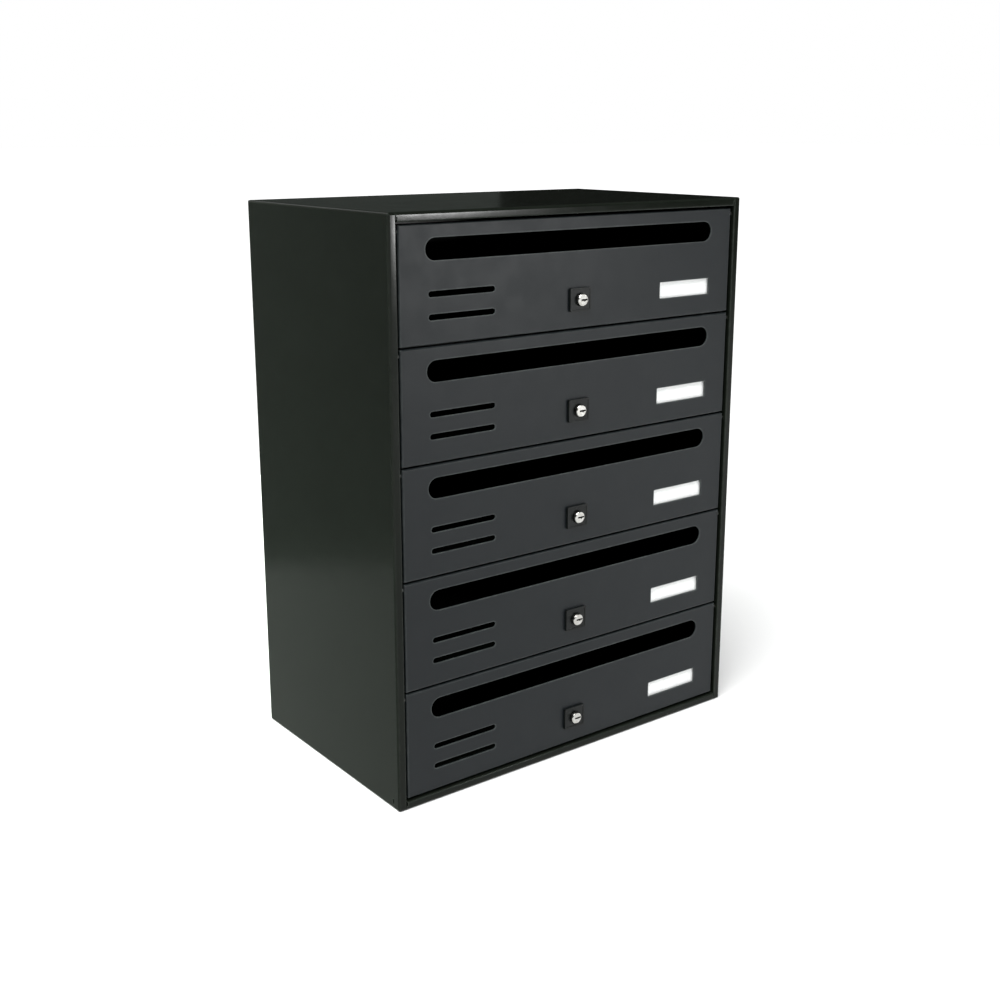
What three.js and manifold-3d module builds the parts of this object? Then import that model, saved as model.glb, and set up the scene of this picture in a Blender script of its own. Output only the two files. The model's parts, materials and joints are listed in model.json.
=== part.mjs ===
// Wall-hung cluster mailbox: a folded sheet-steel cabinet with five letter compartments, one above
// the other. Each compartment has a tray-shaped door that swings up on a rod along its top edge,
// with a letter slot, two vents, a name card behind a window, and a cam lock.
//
// Millimetres, +Z up. The doors face -Y and +X is to the right of someone who stands in front.
// The origin is on the ground, under the middle of the whole object, lock noses included.

import * as THREE from 'three';
import { mergeVertices } from 'three/addons/utils/BufferGeometryUtils.js';
import Module from 'manifold-3d';

const wasm = await Module();
wasm.setup();

// ------------------------------------------------------------------ driving dimensions

const CABINET_WIDTH = 400;
const CABINET_HEIGHT = 518;
const CABINET_DEPTH = 240;
const SHEET = 1.2;
const BEND_RADIUS = 2.5;
const STRIP_WIDTH = 8;
const TOP_LIP = 8;
const BOTTOM_LIP = 7.5;
const SIDE_RETURN = 16;
const LIP_RETURN = 14;
const RETURN_ROUND = 1.2;
const CORNER_SLIT = 1.2;
const REAR_FLANGE = 12;
const RELIEF_SLOT = { width: 2, height: 5.5, setback: 9.5, rise: 7 };

const FIT_GAP = 0.3;
// How far a cutter runs past the faces it cuts, and a joined piece into its neighbour.
const OVERCUT = 0.2;

const DOOR_COUNT = 5;
const DOOR_PITCH = 100;
const DOOR_GAP = 1.5;
const DOOR_RECESS = 2;
const DOOR_SIDE_GAP = 2.6;
const DOOR_LIP_GAP = 2;
const DOOR_BEND = 1.5;
const DOOR_SIDE_RETURN = 15;
const DOOR_TOP_RETURN = 9;
const DOOR_BOTTOM_RETURN = 13;
const DOOR_CORNER_SLIT = 1.5;

const HINGE_DROP = 5.5;
const HINGE_SETBACK = 3.5;
const ROD_DIAMETER = 3;
const ROD_LENGTH = 390;
const ROD_HOLE = ROD_DIAMETER + 2 * FIT_GAP;
const ROD_CHAMFER = 0.5;

// Places on a door are given from the middle of its width and down from its top edge.
const SLOT = { length: 327, height: 18.5, drop: 20.75 };
const VENT = { length: 68, height: 5, middle: -127, drops: [57, 76] };
const WINDOW = { width: 64, height: 15, middle: 130.5, drop: 72.5, corner: 0.8 };
const LOCK_DROP = 73;

// The card pocket is a flat clear sleeve behind the window, open at its top.
const POCKET = { width: 72, height: 23, wall: 0.8, rim: 1.5, cavity: 1.1, corner: 1.5 };
const CARD = { width: 67, height: 19.5, thickness: 0.5, overhang: 0.8 };

// Lock lengths run back from the face of the door, so parts in front of it have a minus sign.
const LOCK_PLATE = { width: 24, height: 21, corner: 1.6, rim: 1.6, front: -2.6, floor: -2.2 };
const LOCK_HEAD = { diameter: 18, front: -1.6 };
const LOCK_BARREL = { diameter: 16, acrossFlats: 14, bore: 11.8, rear: 18.8 };
const LOCK_PLUG = { diameter: 11.2, front: -6, shoulder: 19.1, chamfer: 0.6 };
const PLUG_TANG = { side: 7, rear: 21.1, bore: 4.6, boreDepth: 9 };
const KEYWAY = { left: -2.4, right: 4.6, halfHeight: 0.7, depth: 9 };
const WARD = { left: 0.8, right: 2.2, drop: 1.5 };
const LOCK_NUT = { acrossFlats: 20, front: 1.5, thickness: 3 };
const CAM = { front: 19.4, thickness: 2, hub: 16, tip: 12, reach: 22, corner: 2 };
const CAM_SCREW = { head: 8.6, headHeight: 2.8, collar: 10, collarHeight: 0.7, shank: 4, shankLength: 7 };

const SHELF_SHEET = 1;
const SHELF_FRONT_LIP = 12;
const SHELF_FLANGE = 12;
const FLOOR_FLANGE = 6;
const SHELF_SETBACK = 1;
const SHELF_SIDE_GAP = 0.6;
const SHELF_REAR_GAP = 0.5;
const SHELF_FLANGE_START = 4;
const SHELF_FLANGE_STOP = 5;

const PANEL_GAP = 1;
const KEYHOLE = { across: 150, heights: [70, 430], eye: 10, neck: 5.5, rise: 12 };

// How finely curves are divided. Each arc of an outline gets twice its number of steps.
const BEND_STEPS = 2;
const SLOT_STEPS = 5;
const VENT_STEPS = 3;
// How many sides a round bar or hole has, and a hexagonal one.
const ROUND_FACETS = 32;
const SMALL_FACETS = 12;
const HEX_FACETS = 6;

// ------------------------------------------------------------------ derived places

const lockProud = -LOCK_PLUG.front - DOOR_RECESS;
const frontY = lockProud - (CABINET_DEPTH + lockProud) / 2;
const rearY = frontY + CABINET_DEPTH;
const cabinetX = [-CABINET_WIDTH / 2, CABINET_WIDTH / 2];
const cabinetY = [frontY, rearY];
const cabinetZ = [0, CABINET_HEIGHT];
const apertureX = [cabinetX[0] + STRIP_WIDTH, cabinetX[1] - STRIP_WIDTH];
const apertureZ = [BOTTOM_LIP, CABINET_HEIGHT - TOP_LIP];

const doorHeight = DOOR_PITCH - DOOR_GAP;
const doorHalfWidth = apertureX[1] - DOOR_SIDE_GAP;
const doorFaceY = frontY + DOOR_RECESS;
const hingeY = doorFaceY + HINGE_SETBACK;
const shelfFrontY = doorFaceY + DOOR_SIDE_RETURN + SHELF_SETBACK;
const panelFrontY = rearY - SHEET - FIT_GAP - SHEET;

const doorTopZ = (index) => apertureZ[1] - DOOR_LIP_GAP - index * DOOR_PITCH;
const hingeZ = (index) => doorTopZ(index) - HINGE_DROP;
const shelfTopZ = (index) => doorTopZ(index) - doorHeight - (DOOR_GAP - SHELF_SHEET) / 2;

// ------------------------------------------------------------------ materials

const paintedCabinet = { color: 0x2b302a, roughness: 0.42, metalness: 0.1 };
const paintedDoor = { color: 0x393d3e, roughness: 0.5, metalness: 0.1 };
const zincPlate = { color: 0xa8acae, roughness: 0.35, metalness: 1 };
const polishedNickel = { color: 0xc9cbcc, roughness: 0.18, metalness: 1 };
const blackPlastic = { color: 0x121414, roughness: 0.38, metalness: 0 };
const clearPlastic = { color: 0xe8eef0, roughness: 0.1, metalness: 0 };
const whiteCard = { color: 0xf6f6f4, roughness: 0.8, metalness: 0 };

// ------------------------------------------------------------------ solids and outlines

const grow = (range, amount) => [range[0] - amount, range[1] + amount];
const around = (middle, size) => [middle - size / 2, middle + size / 2];

// A closed geometry, with its shared vertices merged, as a solid that can be cut and joined.
function solid(geometry) {
  geometry.deleteAttribute('normal');
  geometry.deleteAttribute('uv');
  const merged = mergeVertices(geometry);
  return new wasm.Manifold(new wasm.Mesh({
    numProp: 3,
    vertProperties: merged.attributes.position.array,
    triVerts: new Uint32Array(merged.index.array),
  }));
}

function geometryOf(body) {
  const mesh = body.getMesh();
  const geometry = new THREE.BufferGeometry();
  geometry.setAttribute('position', new THREE.BufferAttribute(mesh.vertProperties, mesh.numProp));
  geometry.setIndex(new THREE.BufferAttribute(mesh.triVerts, 1));
  return geometry;
}

function block(x, y, z) {
  const geometry = new THREE.BoxGeometry(x[1] - x[0], y[1] - y[0], z[1] - z[0]);
  geometry.translate((x[0] + x[1]) / 2, (y[0] + y[1]) / 2, (z[0] + z[1]) / 2);
  return solid(geometry);
}

// The outline's own two axes and the direction it is drawn out in, for each world axis.
const alongX = new THREE.Matrix4().makeBasis(
  new THREE.Vector3(0, 1, 0), new THREE.Vector3(0, 0, 1), new THREE.Vector3(1, 0, 0));
const alongY = new THREE.Matrix4().makeBasis(
  new THREE.Vector3(1, 0, 0), new THREE.Vector3(0, 0, 1), new THREE.Vector3(0, -1, 0));
const alongZ = new THREE.Matrix4();

function extrude(outline, direction, range, curveSegments = BEND_STEPS) {
  const settings = { depth: range[1] - range[0], bevelEnabled: false, curveSegments };
  const geometry = new THREE.ExtrudeGeometry(outline, settings);
  geometry.translate(0, 0, direction === alongY ? -range[1] : range[0]);
  geometry.applyMatrix4(direction);
  return solid(geometry);
}

// A cylinder, or a prism with few facets, whose axis runs along Y.
function roundBar(diameter, y, facets = ROUND_FACETS) {
  const geometry = new THREE.CylinderGeometry(diameter / 2, diameter / 2, y[1] - y[0], facets);
  geometry.translate(0, (y[0] + y[1]) / 2, 0);
  return solid(geometry);
}

function roundedRectangle(across, up, radius) {
  const [left, right] = grow(across, -radius);
  const [low, high] = grow(up, -radius);
  const outline = new THREE.Shape();
  outline.absarc(right, high, radius, 0, Math.PI / 2);
  outline.absarc(left, high, radius, Math.PI / 2, Math.PI);
  outline.absarc(left, low, radius, Math.PI, 1.5 * Math.PI);
  outline.absarc(right, low, radius, 1.5 * Math.PI, 2 * Math.PI);
  outline.closePath();
  return outline;
}

// A straight slot with fully round ends.
function slotOutline(length, height, middle, up) {
  const reach = (length - height) / 2;
  const outline = new THREE.Shape();
  outline.absarc(middle + reach, up, height / 2, -Math.PI / 2, Math.PI / 2);
  outline.absarc(middle - reach, up, height / 2, Math.PI / 2, 1.5 * Math.PI);
  outline.closePath();
  return outline;
}

// A circle with a flat on its left and right.
function doubleFlatOutline(diameter, acrossFlats, up = 0) {
  const radius = diameter / 2;
  const turn = Math.acos(acrossFlats / diameter);
  const outline = new THREE.Shape();
  outline.absarc(0, up, radius, turn, Math.PI - turn);
  outline.absarc(0, up, radius, Math.PI + turn, 2 * Math.PI - turn);
  outline.closePath();
  return outline;
}

// A block whose twelve edges are all rounded, as three crossed outlines.
function roundedBlock(x, y, z, radius) {
  return extrude(roundedRectangle(y, z, radius), alongX, x)
    .intersect(extrude(roundedRectangle(x, z, radius), alongY, y))
    .intersect(extrude(roundedRectangle(x, y, radius), alongZ, z));
}

// What a rounding takes off a square edge. The edge is at (x, y) of the outline, and the material
// lies on the positive or negative side of it, as sideX and sideY say.
function edgeRounding(x, y, sideX, sideY, radius) {
  const facets = 2 * BEND_STEPS;
  const place = (across, up) => [x + across * sideX, y + up * sideY];
  const outline = new THREE.Shape();
  outline.moveTo(...place(-OVERCUT, -OVERCUT));
  outline.lineTo(...place(radius, -OVERCUT));
  for (let facet = 0; facet <= facets; facet += 1) {
    const turn = (facet / facets) * Math.PI / 2;
    outline.lineTo(...place(radius * (1 - Math.sin(turn)), radius * (1 - Math.cos(turn))));
  }
  outline.lineTo(...place(-OVERCUT, radius));
  outline.closePath();
  return outline;
}

// ------------------------------------------------------------------ cabinet

// The wrap of top, sides and bottom with its front face and rear flange, before the returns.
function foldedWrap() {
  const outside = roundedBlock(cabinetX, cabinetY, cabinetZ, BEND_RADIUS);
  const inside = roundedBlock(
    grow(cabinetX, -SHEET), grow(cabinetY, -SHEET), grow(cabinetZ, -SHEET), BEND_RADIUS - SHEET);
  const doorField = block(apertureX, [frontY - OVERCUT, frontY + SHEET + OVERCUT], apertureZ);
  const flangeY = [rearY - SHEET - OVERCUT, rearY + OVERCUT];
  const rearOpening = block(grow(cabinetX, -REAR_FLANGE), flangeY, grow(cabinetZ, -REAR_FLANGE));
  return outside.subtract(inside).subtract(doorField).subtract(rearOpening);
}

// The edges of the front face fold back into the cabinet on all four sides of the door field.
function addFrontReturns(shell) {
  const innerX = grow(apertureX, SHEET);
  const innerZ = grow(cabinetZ, -SHEET / 2);
  const sideY = [frontY + SHEET / 2, frontY + SIDE_RETURN];
  const lipY = [frontY + SHEET / 2, frontY + LIP_RETURN];
  const lipX = grow(apertureX, -CORNER_SLIT);
  return shell
    .add(block([innerX[0], apertureX[0]], sideY, innerZ))
    .add(block([apertureX[1], innerX[1]], sideY, innerZ))
    .add(block(lipX, lipY, [apertureZ[1], apertureZ[1] + SHEET]))
    .add(block(lipX, lipY, [apertureZ[0] - SHEET, apertureZ[0]]));
}

// The folds beside the door field are round, and so are the folds of the two lips.
function roundFrontEdges(shell) {
  const wide = grow(apertureX, -CORNER_SLIT / 2);
  let rounded = shell;
  for (const side of [0, 1]) {
    const outward = side === 0 ? -1 : 1;
    const strip = edgeRounding(apertureX[side], frontY, outward, 1, RETURN_ROUND);
    const lip = edgeRounding(frontY, apertureZ[side], 1, outward, RETURN_ROUND);
    rounded = rounded.subtract(extrude(strip, alongZ, grow(cabinetZ, -BEND_RADIUS)));
    rounded = rounded.subtract(extrude(lip, alongX, wide));
  }
  return rounded;
}

// The side strips run the whole height, and a slit parts them from the ends of each lip.
function cutCornerSlits(shell) {
  const slitY = [frontY - OVERCUT, frontY + LIP_RETURN + OVERCUT];
  const slitZ = [
    [BEND_RADIUS + RETURN_ROUND, apertureZ[0] + OVERCUT],
    [apertureZ[1] - OVERCUT, CABINET_HEIGHT - BEND_RADIUS - RETURN_ROUND],
  ];
  let slit = shell;
  for (const z of slitZ) {
    slit = slit.subtract(block([apertureX[0], apertureX[0] + CORNER_SLIT], slitY, z));
    slit = slit.subtract(block([apertureX[1] - CORNER_SLIT, apertureX[1]], slitY, z));
  }
  return slit;
}

function cutRodHoles(shell) {
  const geometry = new THREE.CylinderGeometry(
    ROD_HOLE / 2, ROD_HOLE / 2, 2 * (apertureX[1] + SHEET + OVERCUT), SMALL_FACETS);
  geometry.rotateZ(Math.PI / 2);
  let drilled = shell;
  for (let index = 0; index < DOOR_COUNT; index += 1) {
    drilled = drilled.subtract(solid(geometry.clone().translate(0, hingeY, hingeZ(index))));
  }
  return drilled;
}

// A small upright slot low on each side wall, just behind the front bend.
function cutReliefSlots(shell) {
  const y = around(frontY + RELIEF_SLOT.setback, RELIEF_SLOT.width);
  const z = around(RELIEF_SLOT.rise, RELIEF_SLOT.height);
  const through = SHEET + OVERCUT;
  return shell
    .subtract(block([cabinetX[0] - OVERCUT, cabinetX[0] + through], y, z))
    .subtract(block([cabinetX[1] - through, cabinetX[1] + OVERCUT], y, z));
}

function cabinetShell() {
  let shell = addFrontReturns(foldedWrap());
  shell = roundFrontEdges(shell);
  shell = cutCornerSlits(shell);
  shell = cutRodHoles(shell);
  return cutReliefSlots(shell);
}

function keyholeOutline(middle, up) {
  const outline = new THREE.Shape();
  const neck = KEYHOLE.neck / 2;
  const turn = Math.acos(neck / (KEYHOLE.eye / 2));
  outline.absarc(middle, up + KEYHOLE.rise, neck, 0, Math.PI);
  outline.absarc(middle, up, KEYHOLE.eye / 2, Math.PI - turn, 2 * Math.PI + turn);
  outline.closePath();
  return outline;
}

// A flat sheet that closes the back from inside, with four keyholes for wall screws.
function backPanel() {
  const x = grow(cabinetX, -SHEET - PANEL_GAP);
  const z = grow(cabinetZ, -SHEET - PANEL_GAP);
  const y = [panelFrontY, panelFrontY + SHEET];
  let panel = extrude(roundedRectangle(x, z, BEND_RADIUS), alongY, y);
  for (const middle of [-KEYHOLE.across, KEYHOLE.across]) {
    for (const up of KEYHOLE.heights) {
      const keyhole = keyholeOutline(middle, up);
      panel = panel.subtract(extrude(keyhole, alongY, grow(y, OVERCUT), VENT_STEPS));
    }
  }
  return panel;
}

// A compartment floor, in a frame whose zero height is its upper face: the front edge is turned up
// as the catch that the lock cam drops behind, and the other three edges are turned down.
function shelf(flange) {
  const halfWidth = CABINET_WIDTH / 2 - SHEET - SHELF_SIDE_GAP;
  const x = [-halfWidth, halfWidth];
  const y = [shelfFrontY, panelFrontY - SHELF_REAR_GAP];
  const flangeZ = [-flange, -SHELF_SHEET / 2];
  const sideY = [y[0] + SHELF_FLANGE_START, y[1] - SHELF_FLANGE_STOP];
  const rearX = grow(x, -SHELF_FLANGE_START);
  return block(x, y, [-SHELF_SHEET, 0])
    .add(block(x, [y[0], y[0] + SHELF_SHEET], [-SHELF_SHEET, SHELF_FRONT_LIP]))
    .add(block([x[0], x[0] + SHELF_SHEET], sideY, flangeZ))
    .add(block([x[1] - SHELF_SHEET, x[1]], sideY, flangeZ))
    .add(block(rearX, [y[1] - SHELF_SHEET, y[1]], flangeZ));
}

// ------------------------------------------------------------------ door

// Everything on a door is drawn with the middle of the top edge of its face at the origin.
function doorTray() {
  const x = [-doorHalfWidth, doorHalfWidth];
  const y = [0, DOOR_SIDE_RETURN];
  const z = [-doorHeight, 0];
  const behind = [SHEET, DOOR_SIDE_RETURN + OVERCUT];
  const slitX = [
    [x[0] + SHEET, x[0] + SHEET + DOOR_CORNER_SLIT],
    [x[1] - SHEET - DOOR_CORNER_SLIT, x[1] - SHEET],
  ];
  const slitY = [DOOR_BEND + SHEET, behind[1]];
  const topEdge = [-SHEET - OVERCUT, OVERCUT];
  const bottomEdge = [-doorHeight - OVERCUT, -doorHeight + SHEET + OVERCUT];
  let tray = roundedBlock(x, [0, 2 * DOOR_SIDE_RETURN], z, DOOR_BEND)
    .intersect(block(x, y, z))
    .subtract(block(grow(x, -SHEET), behind, grow(z, -SHEET)));
  for (const across of slitX) {
    tray = tray.subtract(block(across, slitY, topEdge));
    tray = tray.subtract(block(across, slitY, bottomEdge));
  }
  return tray
    .subtract(block(grow(x, -SHEET), [DOOR_TOP_RETURN, behind[1]], topEdge))
    .subtract(block(grow(x, -SHEET), [DOOR_BOTTOM_RETURN, behind[1]], bottomEdge));
}

function doorPanel() {
  const through = [-OVERCUT, SHEET + OVERCUT];
  const rodHole = new THREE.CylinderGeometry(
    ROD_HOLE / 2, ROD_HOLE / 2, 2 * (doorHalfWidth + OVERCUT), SMALL_FACETS);
  rodHole.rotateZ(Math.PI / 2);
  rodHole.translate(0, HINGE_SETBACK, -HINGE_DROP);
  const letterSlot = slotOutline(SLOT.length, SLOT.height, 0, -SLOT.drop);
  const lockHole = doubleFlatOutline(
    LOCK_BARREL.diameter + 2 * FIT_GAP, LOCK_BARREL.acrossFlats + 2 * FIT_GAP, -LOCK_DROP);
  const cardWindow = roundedRectangle(
    around(WINDOW.middle, WINDOW.width), around(-WINDOW.drop, WINDOW.height), WINDOW.corner);
  let panel = doorTray()
    .subtract(solid(rodHole))
    .subtract(extrude(letterSlot, alongY, through, SLOT_STEPS))
    .subtract(extrude(cardWindow, alongY, through))
    .subtract(extrude(lockHole, alongY, through, SLOT_STEPS));
  for (const drop of VENT.drops) {
    const vent = slotOutline(VENT.length, VENT.height, VENT.middle, -drop);
    panel = panel.subtract(extrude(vent, alongY, through, VENT_STEPS));
  }
  return panel;
}

function hingeRod() {
  const end = ROD_LENGTH / 2;
  const radius = ROD_DIAMETER / 2;
  const profile = [
    new THREE.Vector2(0, -end),
    new THREE.Vector2(radius - ROD_CHAMFER, -end),
    new THREE.Vector2(radius, ROD_CHAMFER - end),
    new THREE.Vector2(radius, end - ROD_CHAMFER),
    new THREE.Vector2(radius - ROD_CHAMFER, end),
    new THREE.Vector2(0, end),
  ];
  const geometry = new THREE.LatheGeometry(profile, SMALL_FACETS);
  geometry.rotateZ(Math.PI / 2);
  return solid(geometry);
}

// ------------------------------------------------------------------ name card

const pocketFront = SHEET + FIT_GAP;
const pocketLow = -WINDOW.drop - POCKET.height / 2;

function cardPocket() {
  const x = around(WINDOW.middle, POCKET.width);
  const z = around(-WINDOW.drop, POCKET.height);
  const y = [pocketFront, pocketFront + 2 * POCKET.wall + POCKET.cavity];
  const roomZ = [z[0] + POCKET.rim, z[1] + OVERCUT];
  const room = block(grow(x, -POCKET.rim), grow(y, -POCKET.wall), roomZ);
  return extrude(roundedRectangle(x, z, POCKET.corner), alongY, y).subtract(room);
}

function nameCard() {
  const x = around(WINDOW.middle, CARD.width);
  const y = around(pocketFront + POCKET.wall + POCKET.cavity / 2, CARD.thickness);
  const low = pocketLow + POCKET.rim + FIT_GAP;
  return block(x, y, [low, low + CARD.height + CARD.overhang]);
}

// ------------------------------------------------------------------ lock
// Drawn about the lock's own axis, with y = 0 on the face of the door.

// A square cover with a raised rim, hollow behind so that it hides the head of the barrel.
function lockPlate() {
  const x = around(0, LOCK_PLATE.width);
  const z = around(0, LOCK_PLATE.height);
  const rear = -FIT_GAP;
  const dish = roundedRectangle(
    grow(x, -LOCK_PLATE.rim), grow(z, -LOCK_PLATE.rim), LOCK_PLATE.corner / 2);
  const headRoomY = [LOCK_HEAD.front - FIT_GAP, rear + OVERCUT];
  const headRoom = roundBar(LOCK_HEAD.diameter + 2 * FIT_GAP, headRoomY);
  return extrude(roundedRectangle(x, z, LOCK_PLATE.corner), alongY, [LOCK_PLATE.front, rear])
    .subtract(extrude(dish, alongY, [LOCK_PLATE.front - OVERCUT, LOCK_PLATE.floor]))
    .subtract(headRoom)
    .subtract(roundBar(LOCK_BARREL.bore, [LOCK_PLATE.front - OVERCUT, rear]));
}

function lockBarrel() {
  const body = doubleFlatOutline(LOCK_BARREL.diameter, LOCK_BARREL.acrossFlats);
  const rear = LOCK_BARREL.rear;
  return extrude(body, alongY, [-FIT_GAP - OVERCUT, rear], SLOT_STEPS)
    .add(roundBar(LOCK_HEAD.diameter, [LOCK_HEAD.front, -FIT_GAP]))
    .subtract(roundBar(LOCK_BARREL.bore, [LOCK_HEAD.front - OVERCUT, rear + OVERCUT]));
}

function lockNut() {
  const acrossCorners = LOCK_NUT.acrossFlats / Math.cos(Math.PI / HEX_FACETS);
  const y = [LOCK_NUT.front, LOCK_NUT.front + LOCK_NUT.thickness];
  return roundBar(acrossCorners, y, HEX_FACETS)
    .subtract(roundBar(LOCK_BARREL.diameter + 2 * FIT_GAP, grow(y, OVERCUT)));
}

function keywayOutline() {
  const outline = new THREE.Shape();
  outline.moveTo(KEYWAY.left, -KEYWAY.halfHeight);
  outline.lineTo(WARD.left, -KEYWAY.halfHeight);
  outline.lineTo(WARD.left, -WARD.drop);
  outline.lineTo(WARD.right, -WARD.drop);
  outline.lineTo(WARD.right, -KEYWAY.halfHeight);
  outline.lineTo(KEYWAY.right, -KEYWAY.halfHeight);
  outline.lineTo(KEYWAY.right, KEYWAY.halfHeight);
  outline.lineTo(KEYWAY.left, KEYWAY.halfHeight);
  outline.closePath();
  return outline;
}

// The part that the key turns: a round nose with the keyway, and a square tang that drives the cam.
function lockPlug() {
  const radius = LOCK_PLUG.diameter / 2;
  const profile = [
    new THREE.Vector2(0, LOCK_PLUG.front),
    new THREE.Vector2(radius - LOCK_PLUG.chamfer, LOCK_PLUG.front),
    new THREE.Vector2(radius, LOCK_PLUG.front + LOCK_PLUG.chamfer),
    new THREE.Vector2(radius, LOCK_PLUG.shoulder),
    new THREE.Vector2(0, LOCK_PLUG.shoulder),
  ];
  const tangY = [LOCK_PLUG.shoulder - OVERCUT, PLUG_TANG.rear];
  const keywayY = [LOCK_PLUG.front - OVERCUT, LOCK_PLUG.front + KEYWAY.depth];
  const boreY = [PLUG_TANG.rear - PLUG_TANG.boreDepth, PLUG_TANG.rear + OVERCUT];
  return solid(new THREE.LatheGeometry(profile, ROUND_FACETS))
    .add(block(around(0, PLUG_TANG.side), tangY, around(0, PLUG_TANG.side)))
    .subtract(extrude(keywayOutline(), alongY, keywayY))
    .subtract(roundBar(PLUG_TANG.bore, boreY, SMALL_FACETS));
}

// A flat lever that points to the right when unlocked.
function lockCam() {
  const y = [CAM.front, CAM.front + CAM.thickness];
  const hole = PLUG_TANG.side + 2 * FIT_GAP;
  const lever = roundedRectangle([0, CAM.reach], around(0, CAM.tip), CAM.corner);
  const root = block([0, CAM.corner], y, around(0, CAM.tip));
  return extrude(lever, alongY, y)
    .add(root)
    .add(roundBar(CAM.hub, y))
    .subtract(block(around(0, hole), grow(y, OVERCUT), around(0, hole)));
}

function camScrew() {
  const seat = CAM.front + CAM.thickness + FIT_GAP;
  const collarRear = seat + CAM_SCREW.collarHeight;
  const headY = [collarRear - OVERCUT, collarRear + CAM_SCREW.headHeight];
  const shankY = [seat - CAM_SCREW.shankLength, seat + OVERCUT];
  return roundBar(CAM_SCREW.collar, [seat, collarRear])
    .add(roundBar(CAM_SCREW.head, headY, HEX_FACETS))
    .add(roundBar(CAM_SCREW.shank, shankY, SMALL_FACETS));
}

// ------------------------------------------------------------------ assembly

function part(name, geometry, finish) {
  const mesh = new THREE.Mesh(geometry, new THREE.MeshStandardMaterial(finish));
  mesh.name = name;
  return mesh;
}

const doorPieces = [
  ['door', geometryOf(doorPanel()), paintedDoor],
  ['name_pocket', geometryOf(cardPocket()), clearPlastic],
  ['name_card', geometryOf(nameCard()), whiteCard],
];
const lockPieces = [
  ['lock_plate', geometryOf(lockPlate()), blackPlastic],
  ['lock_barrel', geometryOf(lockBarrel()), zincPlate],
  ['lock_nut', geometryOf(lockNut()), zincPlate],
  ['lock_plug', geometryOf(lockPlug()), polishedNickel],
  ['lock_cam', geometryOf(lockCam()), zincPlate],
  ['cam_screw', geometryOf(camScrew()), zincPlate],
];
const rodGeometry = geometryOf(hingeRod());
const shelfGeometry = geometryOf(shelf(SHELF_FLANGE));
const floorGeometry = geometryOf(shelf(FLOOR_FLANGE));

// One compartment's door with its lock, rod and floor. The top compartment has the index 0.
function compartment(index) {
  const number = index + 1;
  const isLowest = number === DOOR_COUNT;
  const door = new THREE.Group();
  door.position.set(0, doorFaceY, doorTopZ(index));
  for (const [name, geometry, finish] of doorPieces) {
    door.add(part(`${name}_${number}`, geometry, finish));
  }
  const lock = new THREE.Group();
  lock.position.set(0, 0, -LOCK_DROP);
  for (const [name, geometry, finish] of lockPieces) {
    lock.add(part(`${name}_${number}`, geometry, finish));
  }
  door.add(lock);
  const rod = part(`hinge_rod_${number}`, rodGeometry, zincPlate);
  rod.position.set(0, hingeY, hingeZ(index));
  const floor = isLowest
    ? part('floor_panel', floorGeometry, paintedCabinet)
    : part(`shelf_${number}`, shelfGeometry, paintedCabinet);
  floor.position.set(0, 0, shelfTopZ(index));
  const group = new THREE.Group();
  group.add(door, rod, floor);
  return group;
}

const mailbox = new THREE.Group();
mailbox.add(part('cabinet_shell', geometryOf(cabinetShell()), paintedCabinet));
mailbox.add(part('back_panel', geometryOf(backPanel()), paintedCabinet));
for (let index = 0; index < DOOR_COUNT; index += 1) {
  mailbox.add(compartment(index));
}

export default mailbox;
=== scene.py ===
import json
import math

import bpy
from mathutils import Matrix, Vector


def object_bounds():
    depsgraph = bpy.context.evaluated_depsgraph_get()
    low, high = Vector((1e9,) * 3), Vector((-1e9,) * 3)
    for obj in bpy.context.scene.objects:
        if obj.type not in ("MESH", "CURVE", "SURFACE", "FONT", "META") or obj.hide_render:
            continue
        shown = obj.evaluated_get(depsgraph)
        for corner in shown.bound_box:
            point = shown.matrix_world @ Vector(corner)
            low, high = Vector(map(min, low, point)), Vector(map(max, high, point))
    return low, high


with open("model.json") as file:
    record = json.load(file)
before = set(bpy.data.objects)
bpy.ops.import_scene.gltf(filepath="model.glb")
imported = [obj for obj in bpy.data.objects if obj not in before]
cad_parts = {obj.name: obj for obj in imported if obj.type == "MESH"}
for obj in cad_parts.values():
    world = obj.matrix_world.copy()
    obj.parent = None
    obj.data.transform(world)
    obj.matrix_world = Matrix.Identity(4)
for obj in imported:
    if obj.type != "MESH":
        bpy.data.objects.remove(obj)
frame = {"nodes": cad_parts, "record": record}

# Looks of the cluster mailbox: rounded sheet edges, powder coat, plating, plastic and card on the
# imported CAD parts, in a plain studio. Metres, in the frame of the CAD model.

MM = 0.001
cad_low, cad_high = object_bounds()
middle = (cad_low + cad_high) / 2

# ------------------------------------------------------------------ camera and studio

# Angles are in degrees round the middle of the cabinet: azimuth 0 is in front of the doors, and a
# negative one is on their left.
CAMERA = {"azimuth": -37.2, "elevation": 14.1, "distance": 1.297, "aim_above": 0.006}
LENS_MM = 47.4
SENSOR_MM = 36
CAMERA_SHIFT_Y = -0.04

FLOOR_SIZE = 80.0
FLOOR_COLOUR = (0.90, 0.90, 0.90, 1)
STUDIO_ROUGHNESS = 0.9
BACKDROP_COLOUR = (1.0, 1.0, 1.0, 1)
ROOM_COLOUR = (0.90, 1.0, 0.93, 1)
ROOM_STRENGTH = 0.06

SUN = {"azimuth": -50, "elevation": 60, "strength": 4.6, "angle": 50}
CARD_GREY = (0.58, 0.635, 0.58, 1)
CARD_BLACK = (0.005, 0.005, 0.005, 1)
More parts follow.
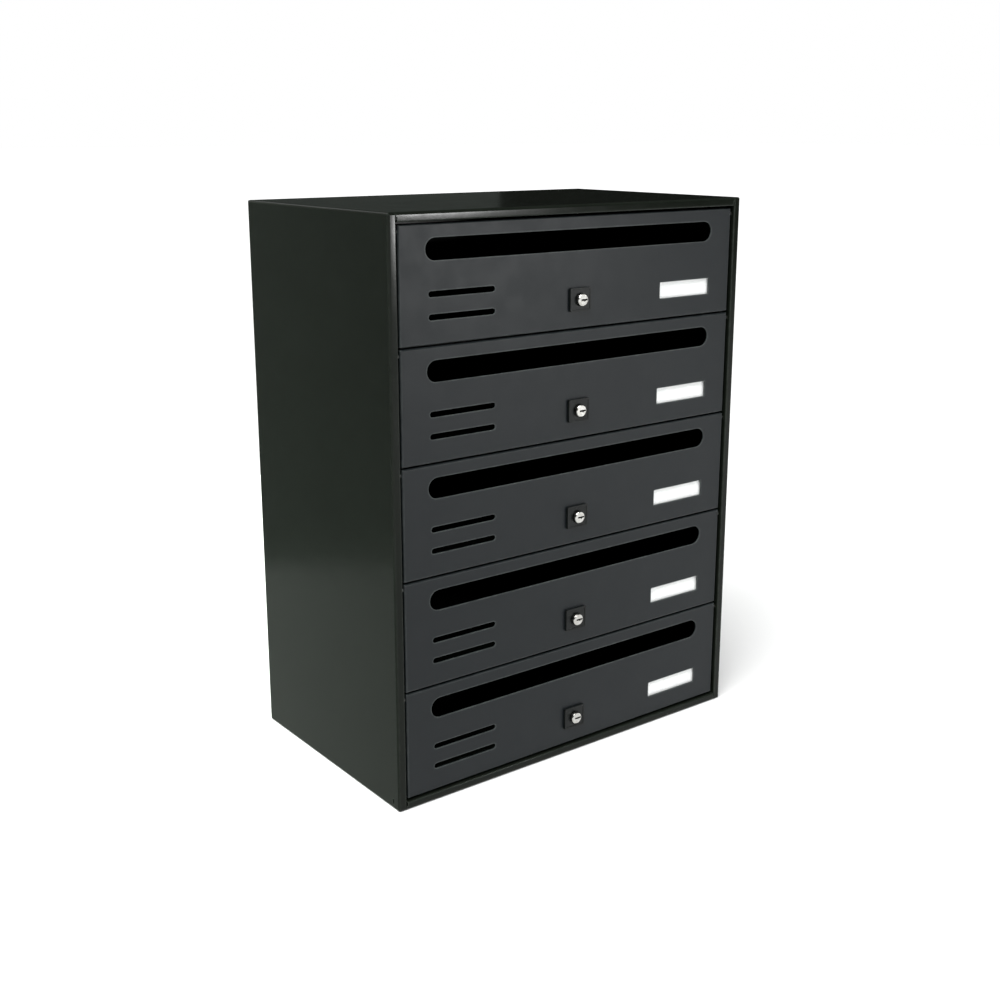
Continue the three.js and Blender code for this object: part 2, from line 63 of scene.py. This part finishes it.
# The left side panel mirrors the grey card. The front's top-right corner mirrors the black card, and
# the right end of the top mirrors the far card.
CARDS = {
    "grey_card": {"azimuth": -143, "distance": 0.7, "width": 1.6,
                  "bottom": 0.001, "top": 0.8, "foot": 0.67, "colour": CARD_GREY},
    "black_card": {"azimuth": 48, "distance": 2.75, "width": 1.1,
                   "bottom": 0.2, "top": 1.1, "foot": 0.1, "colour": CARD_BLACK},
    "far_card": {"azimuth": 131.5, "distance": 2.0, "width": 0.8,
                 "bottom": 0.35, "top": 1.3, "foot": 0.1, "colour": CARD_BLACK},
}
# Each softbox faces the middle of the cabinet. Its power is in watts.
SOFTBOXES = {
    "sheen_box": {"azimuth": 29, "height": 0.47, "distance": 2.13,
                  "width": 0.15, "tall": 0.15, "power": 10},
    "rim_box": {"azimuth": -166, "height": 1.45, "distance": 1.6,
                "width": 1.0, "tall": 0.8, "power": 2.5},
}


def direction(azimuth, elevation):
    """The unit vector from the middle of the cabinet towards that place round it."""
    turn = math.radians(azimuth)
    rise = math.radians(elevation)
    level = math.cos(rise)
    return Vector((math.sin(turn) * level, -math.cos(turn) * level, math.sin(rise)))


def aimed(thing, place, target):
    """Links a camera or light that stands at place and looks at target."""
    bpy.context.scene.collection.objects.link(thing)
    thing.location = place
    thing.rotation_mode = "QUATERNION"
    thing.rotation_quaternion = (target - place).to_track_quat("-Z", "Y")
    return thing


def make_camera():
    data = bpy.data.cameras.new("camera")
    data.lens = LENS_MM
    data.sensor_width = SENSOR_MM
    data.shift_y = CAMERA_SHIFT_Y
    aim = middle + Vector((0, 0, CAMERA["aim_above"]))
    place = aim + direction(CAMERA["azimuth"], CAMERA["elevation"]) * CAMERA["distance"]
    bpy.context.scene.camera = aimed(bpy.data.objects.new("camera", data), place, aim)


def studio_matte(name, colour):
    """The material of the floor and the cards, which mirror nothing."""
    finish = Finish(name)
    finish.set("Base Color", colour)
    finish.set("Roughness", STUDIO_ROUGHNESS)
    finish.set("Specular IOR Level", 0.0)
    return finish.material


def make_floor():
    half = FLOOR_SIZE / 2
    corners = [(-half, -half, 0), (half, -half, 0), (half, half, 0), (-half, half, 0)]
    mesh = bpy.data.meshes.new("floor")
    mesh.from_pydata(corners, [], [(0, 1, 2, 3)])
    floor = bpy.data.objects.new("floor", mesh)
    floor.location.z = cad_low.z
    bpy.context.scene.collection.objects.link(floor)
    mesh.materials.append(studio_matte("studio_floor", FLOOR_COLOUR))


def make_card(name, card):
    """A bent card that only reflections show: upright, with a level foot towards the cabinet."""
    half = card["width"] / 2
    profile = [(card["foot"], card["bottom"]), (0, card["bottom"]), (0, card["top"])]
    corners = [(x, y, z) for y, z in profile for x in (-half, half)]
    mesh = bpy.data.meshes.new(name)
    mesh.from_pydata(corners, [], [(0, 1, 3, 2), (2, 3, 5, 4)])
    board = bpy.data.objects.new(name, mesh)
    board.location = middle + direction(card["azimuth"], 0) * card["distance"]
    board.location.z = cad_low.z
    board.rotation_euler.z = math.radians(card["azimuth"])
    board.visible_camera = False
    board.visible_shadow = False
    bpy.context.scene.collection.objects.link(board)
    mesh.materials.append(studio_matte(name, card["colour"]))


def make_room():
    """A dim room all round, in front of which the camera sees a white backdrop."""
    world = bpy.data.worlds.new("room")
    bpy.context.scene.world = world
    world.use_nodes = True
    nodes = world.node_tree.nodes
    links = world.node_tree.links
    nodes.clear()
    room = nodes.new("ShaderNodeBackground")
    room.inputs["Color"].default_value = ROOM_COLOUR
    room.inputs["Strength"].default_value = ROOM_STRENGTH
    backdrop = nodes.new("ShaderNodeBackground")
    backdrop.inputs["Color"].default_value = BACKDROP_COLOUR
    path = nodes.new("ShaderNodeLightPath")
    mix = nodes.new("ShaderNodeMixShader")
    output = nodes.new("ShaderNodeOutputWorld")
    links.new(path.outputs["Is Camera Ray"], mix.inputs["Fac"])
    links.new(room.outputs[0], mix.inputs[1])
    links.new(backdrop.outputs[0], mix.inputs[2])
    links.new(mix.outputs[0], output.inputs["Surface"])


def make_sun():
    data = bpy.data.lights.new("sun", "SUN")
    data.energy = SUN["strength"]
    data.angle = math.radians(SUN["angle"])
    place = middle + direction(SUN["azimuth"], SUN["elevation"])
    aimed(bpy.data.objects.new("sun", data), place, middle)


def make_softbox(name, box):
    data = bpy.data.lights.new(name, "AREA")
    data.shape = "RECTANGLE"
    data.size = box["width"]
    data.size_y = box["tall"]
    data.energy = box["power"]
    place = middle + direction(box["azimuth"], 0) * box["distance"]
    place.z = box["height"]
    light = aimed(bpy.data.objects.new(name, data), place, middle)
    light.visible_camera = False


# ------------------------------------------------------------------ material building

# How alike the rounded and the true surface directions are, on an edge and on a flat face.
EDGE_LIKENESS = 0.86
FLAT_LIKENESS = 0.995
EDGE_SAMPLES = 4
# How much of its surroundings a point sees, in a slot or corner and in the open.
CLOSED_VIEW = 0.45
OPEN_VIEW = 0.95
OPENNESS_SAMPLES = 8


class Finish:
    """A material with one Principled shader, and short ways to build what feeds it."""

    def __init__(self, name):
        self.material = bpy.data.materials.new(name)
        self.material.use_nodes = True
        self.nodes = self.material.node_tree.nodes
        self.links = self.material.node_tree.links
        self.shader = next(node for node in self.nodes if node.type == "BSDF_PRINCIPLED")
        self.place = self.nodes.new("ShaderNodeTexCoord").outputs["Object"]

    def set(self, socket, value):
        self.shader.inputs[socket].default_value = value

    def feed(self, socket, output):
        self.links.new(output, self.shader.inputs[socket])

    def noise(self, size_mm, detail=2.0, stretch=(1, 1, 1)):
        """A noise whose blobs are about size_mm wide, and stretched along each axis by a factor."""
        mapping = self.nodes.new("ShaderNodeMapping")
        mapping.inputs["Scale"].default_value = [1 / factor for factor in stretch]
        texture = self.nodes.new("ShaderNodeTexNoise")
        texture.inputs["Scale"].default_value = 1 / (size_mm * MM)
        texture.inputs["Detail"].default_value = detail
        self.links.new(self.place, mapping.inputs["Vector"])
        self.links.new(mapping.outputs["Vector"], texture.inputs["Vector"])
        return texture.outputs["Fac"]

    def level(self, factor, low, high, start=0.35, stop=0.65):
        """A number that goes from low to high as factor goes from start to stop.

        Most of a noise lies between the start and stop given here.
        """
        node = self.nodes.new("ShaderNodeMapRange")
        self.links.new(factor, node.inputs["Value"])
        node.inputs["From Min"].default_value = start
        node.inputs["From Max"].default_value = stop
        node.inputs["To Min"].default_value = low
        node.inputs["To Max"].default_value = high
        return node.outputs["Result"]

    def product(self, one, other):
        node = self.nodes.new("ShaderNodeMath")
        node.operation = "MULTIPLY"
        self.links.new(one, node.inputs[0])
        self.links.new(other, node.inputs[1])
        return node.outputs[0]

    def blend(self, factor, low, high):
        """Two colours, each a value or an output, mixed by a factor from 0 to 1."""
        node = self.nodes.new("ShaderNodeMix")
        node.data_type = "RGBA"
        self.links.new(factor, node.inputs["Factor"])
        colours = [socket for socket in node.inputs if socket.type == "RGBA"]
        for socket, colour in zip(colours, (low, high)):
            if isinstance(colour, bpy.types.NodeSocket):
                self.links.new(colour, socket)
            else:
                socket.default_value = colour
        return next(output for output in node.outputs if output.type == "RGBA")

    def edges(self, width_mm):
        """1 on sharp edges and their bends, 0 on flat faces."""
        rounded = self.nodes.new("ShaderNodeBevel")
        rounded.samples = EDGE_SAMPLES
        rounded.inputs["Radius"].default_value = width_mm * MM
        surface = self.nodes.new("ShaderNodeNewGeometry")
        likeness = self.nodes.new("ShaderNodeVectorMath")
        likeness.operation = "DOT_PRODUCT"
        self.links.new(rounded.outputs["Normal"], likeness.inputs[0])
        self.links.new(surface.outputs["Normal"], likeness.inputs[1])
        return self.level(likeness.outputs["Value"], 1.0, 0.0, EDGE_LIKENESS, FLAT_LIKENESS)

    def openness(self, reach_mm):
        """0 deep in a slot or corner, 1 where the surface is open for reach_mm around."""
        node = self.nodes.new("ShaderNodeAmbientOcclusion")
        node.samples = OPENNESS_SAMPLES
        node.inputs["Distance"].default_value = reach_mm * MM
        return self.level(node.outputs["AO"], 0.0, 1.0, CLOSED_VIEW, OPEN_VIEW)

    def bump(self, height, depth_mm, under=None):
        """Relief as deep as depth_mm where height is 1, on top of another relief if one is given."""
        node = self.nodes.new("ShaderNodeBump")
        node.inputs["Strength"].default_value = 1.0
        node.inputs["Distance"].default_value = depth_mm * MM
        self.links.new(height, node.inputs["Height"])
        if under is not None:
            self.links.new(under, node.inputs["Normal"])
        return node.outputs["Normal"]


# ------------------------------------------------------------------ materials, one for each slot

# How wide the features of the paint are, and how deep its orange peel is.
CLOUD_MM = 45
GLOSS_PATCH_MM = 18
WEAR_AND_HIGHLIGHT_PATCH_MM = 8
PEEL_MM = 2.2
SPECK_MM = 0.7
WORN_AND_HIGHLIT_EDGE_MM = 2.0
PEEL_DEPTH_MM = 0.012


def powder_coat(name, dark, light, edge, roughness, grain_mm, grain_depth_mm):
    """Clouded paint with a fine grain and orange peel, lighter on its edges, partly from thinner paint
    and partly as a painted highlight.
    """
    finish = Finish(name)
    cloud = finish.level(finish.noise(CLOUD_MM, detail=3), 0.0, 1.0)
    speck = finish.level(finish.noise(SPECK_MM, detail=1), 0.0, 0.35)
    colour = finish.blend(cloud, dark, light)
    colour = finish.blend(speck, colour, light)
    # Where the noise allows, the edges take the edge colour: partly worn, thinner paint and partly a
    # painted highlight along the folds and rims.
    wear_and_highlight = finish.level(finish.noise(WEAR_AND_HIGHLIGHT_PATCH_MM, detail=4), 0.45, 1.0)
    worn_and_highlit = finish.product(finish.edges(WORN_AND_HIGHLIT_EDGE_MM), wear_and_highlight)
    finish.feed("Base Color", finish.blend(worn_and_highlit, colour, edge))
    finish.feed("Roughness", finish.level(finish.noise(GLOSS_PATCH_MM, detail=4), *roughness))
    peel = finish.bump(finish.noise(PEEL_MM, detail=1), PEEL_DEPTH_MM)
    grain = finish.noise(grain_mm, detail=2)
    finish.feed("Normal", finish.bump(grain, grain_depth_mm, peel))
    return finish


def cabinet_paint():
    # The edge colour is a painted highlight along the cabinet's folds as well as thinner paint.
    finish = powder_coat(
        "cabinet_paint", dark=(0.0052, 0.0068, 0.0048, 1), light=(0.0064, 0.0082, 0.0060, 1),
        edge=(0.040, 0.048, 0.040, 1), roughness=(0.16, 0.20), grain_mm=0.45, grain_depth_mm=0.006)
    finish.set("Specular IOR Level", 0.11)
    return finish.material


def door_paint():
    # The edge colour is a painted highlight along the doors' folds and window rims as well as thinner
    # paint.
    finish = powder_coat(
        "door_paint", dark=(0.0045, 0.0068, 0.0082, 1), light=(0.0057, 0.0080, 0.0094, 1),
        edge=(0.075, 0.087, 0.084, 1), roughness=(0.40, 0.45), grain_mm=0.5, grain_depth_mm=0.010)
    finish.set("Specular IOR Level", 0.24)
    return finish.material


def zinc_plate():
    """Bright zinc on steel: a cloudy sheen with faint rolling lines."""
    finish = Finish("zinc_plate")
    cloud = finish.level(finish.noise(7, detail=3), 0.0, 1.0)
    finish.feed("Base Color", finish.blend(cloud, (0.42, 0.43, 0.44, 1), (0.62, 0.62, 0.60, 1)))
    finish.set("Metallic", 1.0)
    finish.feed("Roughness", finish.level(finish.noise(3, detail=4), 0.26, 0.44))
    lines = finish.noise(0.35, detail=3, stretch=(12, 1, 1))
    finish.feed("Normal", finish.bump(lines, depth_mm=0.006))
    return finish.material


def polished_nickel():
    """Tarnished plating with hair scratches, and painted shade that darkens the keyway and other
    recesses.
    """
    finish = Finish("polished_nickel")
    tarnish = finish.level(finish.noise(2.5, detail=3), 0.0, 1.0)
    plated = finish.blend(tarnish, (0.44, 0.43, 0.40, 1), (0.54, 0.54, 0.52, 1))
    # Painted shade: the base colour turns near black where the plug is closed in within 3 mm, as in the
    # keyway.
    painted_shade_openness = finish.openness(reach_mm=3.0)
    finish.feed("Base Color", finish.blend(painted_shade_openness, (0.02, 0.02, 0.02, 1), plated))
    finish.set("Metallic", 1.0)
    finish.feed("Roughness", finish.level(finish.noise(0.8, detail=4), 0.14, 0.26))
    scratches = finish.noise(0.25, detail=2, stretch=(10, 1, 1))
    finish.feed("Normal", finish.bump(scratches, depth_mm=0.002))
    return finish.material


def black_plastic():
    """Moulded plastic with a fine spark-eroded grain."""
    finish = Finish("black_plastic")
    cloud = finish.level(finish.noise(9, detail=2), 0.0, 1.0)
    colour = finish.blend(cloud, (0.004, 0.005, 0.0048, 1), (0.006, 0.0075, 0.007, 1))
    finish.feed("Base Color", colour)
    finish.set("Specular IOR Level", 0.2)
    finish.feed("Roughness", finish.level(finish.noise(2, detail=3), 0.34, 0.42))
    finish.feed("Normal", finish.bump(finish.noise(0.3, detail=2), depth_mm=0.006))
    return finish.material


def clear_plastic():
    """A thin sheet that is smeared and not quite flat."""
    finish = Finish("clear_plastic")
    smear = finish.level(finish.noise(12, detail=4), 0.0, 1.0)
    finish.feed("Base Color", finish.blend(smear, (0.92, 0.95, 0.95, 1), (0.98, 1.0, 1.0, 1)))
    finish.feed("Roughness", finish.level(finish.noise(5, detail=4), 0.05, 0.14))
    finish.feed("Normal", finish.bump(finish.noise(6, detail=1), depth_mm=0.01))
    finish.set("Alpha", 0.12)
    return finish.material


def white_card():
    """Blank card with the clouds and fibres of its pulp."""
    finish = Finish("white_card")
    pulp = finish.level(finish.noise(1.2, detail=5), 0.0, 1.0)
    finish.feed("Base Color", finish.blend(pulp, (0.90, 0.91, 0.90, 1), (0.96, 0.96, 0.955, 1)))
    finish.feed("Roughness", finish.level(finish.noise(0.6, detail=3), 0.75, 0.92))
    finish.feed("Normal", finish.bump(finish.noise(0.3, detail=4), depth_mm=0.008))
    return finish.material


SLOT_MATERIALS = {
    "cabinet_paint": cabinet_paint,
    "door_paint": door_paint,
    "zinc_plate": zinc_plate,
    "polished_nickel": polished_nickel,
    "black_plastic": black_plastic,
    "clear_plastic": clear_plastic,
    "white_card": white_card,
}

# ------------------------------------------------------------------ edges of the CAD parts

# Edges sharper than this are rounded; the facets of the folds and holes meet at less.
SHARP_DEGREES = 40
# Facets that meet at less than this are one flat face.
FLAT_DEGREES = 0.5
WELD_MM = 0.002
ROUNDING_SEGMENTS = 2
EDGE_RADIUS_MM = {
    "cabinet_paint": 0.08,
    "door_paint": 0.1,
    "zinc_plate": 0.15,
    "polished_nickel": 0.1,
    "black_plastic": 0.13,
    "clear_plastic": 0.15,
    "white_card": 0.05,
}


def soften_edges(part, radius_mm):
    """Rounds the part's sharp edges a little and shades it smooth, with its flat faces kept flat."""
    mesh = part.data
    mesh.polygons.foreach_set("use_smooth", [True] * len(mesh.polygons))
    if "custom_normal" in mesh.attributes:
        mesh.attributes.remove(mesh.attributes["custom_normal"])
    weld = part.modifiers.new("weld", "WELD")
    weld.merge_threshold = WELD_MM * MM
    flat = part.modifiers.new("flat_faces", "DECIMATE")
    flat.decimate_type = "DISSOLVE"
    flat.angle_limit = math.radians(FLAT_DEGREES)
    edge = part.modifiers.new("edges", "BEVEL")
    edge.width = radius_mm * MM
    edge.segments = ROUNDING_SEGMENTS
    edge.use_clamp_overlap = False
    edge.limit_method = "ANGLE"
    edge.angle_limit = math.radians(SHARP_DEGREES)
    normals = part.modifiers.new("normals", "WEIGHTED_NORMAL")
    normals.keep_sharp = True


def finish_cad_parts():
    made = {slot: build() for slot, build in SLOT_MATERIALS.items()}
    for row in frame["record"]["subparts"]:
        part = frame["nodes"][row["node"]]
        slot = row["material_slot"]
        part.data.materials.clear()
        part.data.materials.append(made[slot])
        soften_edges(part, EDGE_RADIUS_MM[slot])


# ------------------------------------------------------------------ the scene

bpy.context.scene.view_settings.view_transform = "Standard"
make_camera()
make_floor()
for card_name, card in CARDS.items():
    make_card(card_name, card)
make_room()
make_sun()
for box_name, softbox in SOFTBOXES.items():
    make_softbox(box_name, softbox)
finish_cad_parts()
